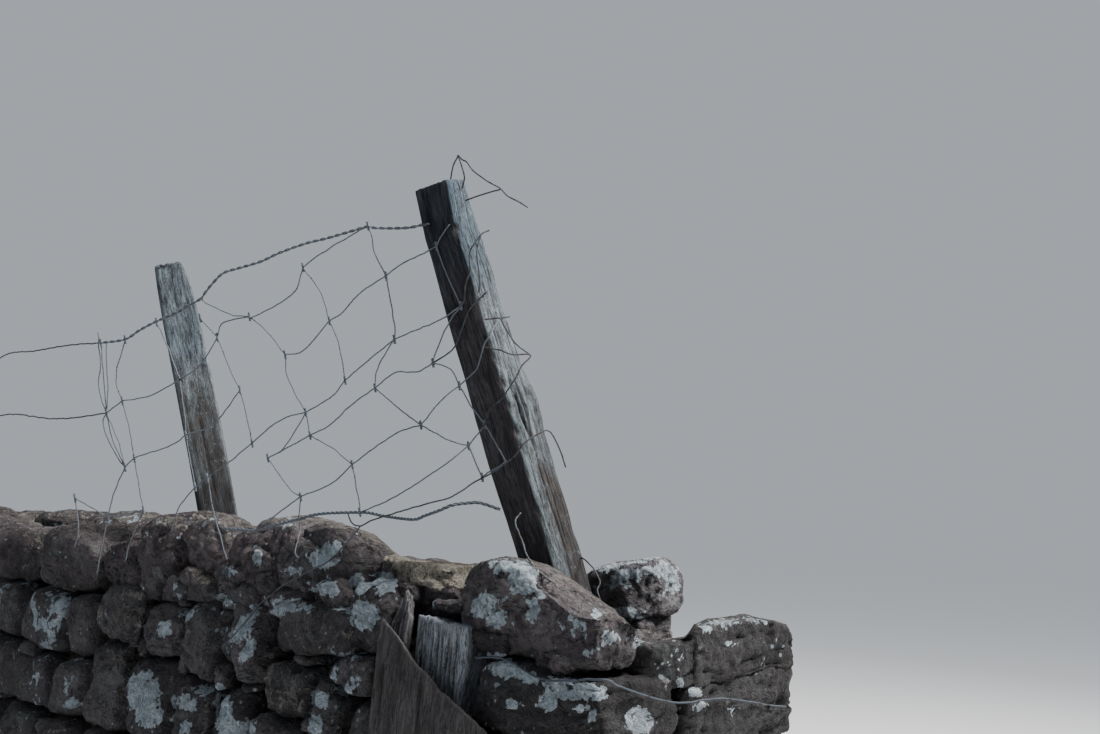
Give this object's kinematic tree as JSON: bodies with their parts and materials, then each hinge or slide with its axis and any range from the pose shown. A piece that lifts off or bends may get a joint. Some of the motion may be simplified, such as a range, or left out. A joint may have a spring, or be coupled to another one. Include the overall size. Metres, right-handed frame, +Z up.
{
  "type": "dry-stone wall with leaning fence posts, wire netting and old stile timbers",
  "caption": "End of a rough dry-stone wall topped by leaning square timber posts with loose hexagonal wire netting, and the broken timbers of an old stile in its front face.",
  "frame": {"origin": "on the underside of the footing, at the middle of the wall's length and thickness", "axes": "+X along the wall towards its built end at the right, +Y towards its back face, +Z up"},
  "size_m": [2.615, 0.693, 1.8479],
  "materials": {
    "stone_dark": "matte",
    "stone_lichen": "matte",
    "stone_mossy": "matte",
    "rubble": "matte",
    "weathered_timber": "matte",
    "dark_timber": "matte",
    "galvanised_wire": "satin",
    "rusty_wire": "matte"
  },
  "bodies": {
    "root": {"footing": "stone_dark", "front_face_left": "stone_dark", "front_face_middle": "stone_dark", "front_face_right": "stone_dark", "back_face_left": "stone_dark", "back_face_middle": "stone_dark", "back_face_right": "stone_dark", "hearting": "rubble", "right_head": "stone_dark", "left_head": "stone_dark", "cope_left_front": "stone_lichen", "cope_left_back": "stone_lichen", "cope_right_back": "stone_lichen", "boulder_a": "stone_lichen", "boulder_b": "stone_lichen", "saddle_stones": "stone_mossy", "boulder_c": "stone_lichen", "low_stone": "stone_mossy", "end_block": "stone_lichen", "corner_stone": "stone_dark", "back_stone": "stone_lichen", "main_post": "weathered_timber", "second_post": "weathered_timber", "third_post": "weathered_timber", "stile_stub": "weathered_timber", "stile_splinter": "weathered_timber", "slant_board": "dark_timber", "netting_right": "galvanised_wire", "netting_left": "galvanised_wire", "top_selvedge": "galvanised_wire", "bottom_selvedge": "galvanised_wire", "line_wires": "rusty_wire", "top_loop": "rusty_wire", "post_ties": "rusty_wire", "knee_ties": "rusty_wire", "loose_ends": "rusty_wire", "stone_strand": "rusty_wire", "foot_curl": "rusty_wire", "face_strand": "galvanised_wire", "staples": "rusty_wire"}
  },
  "joints": []
}
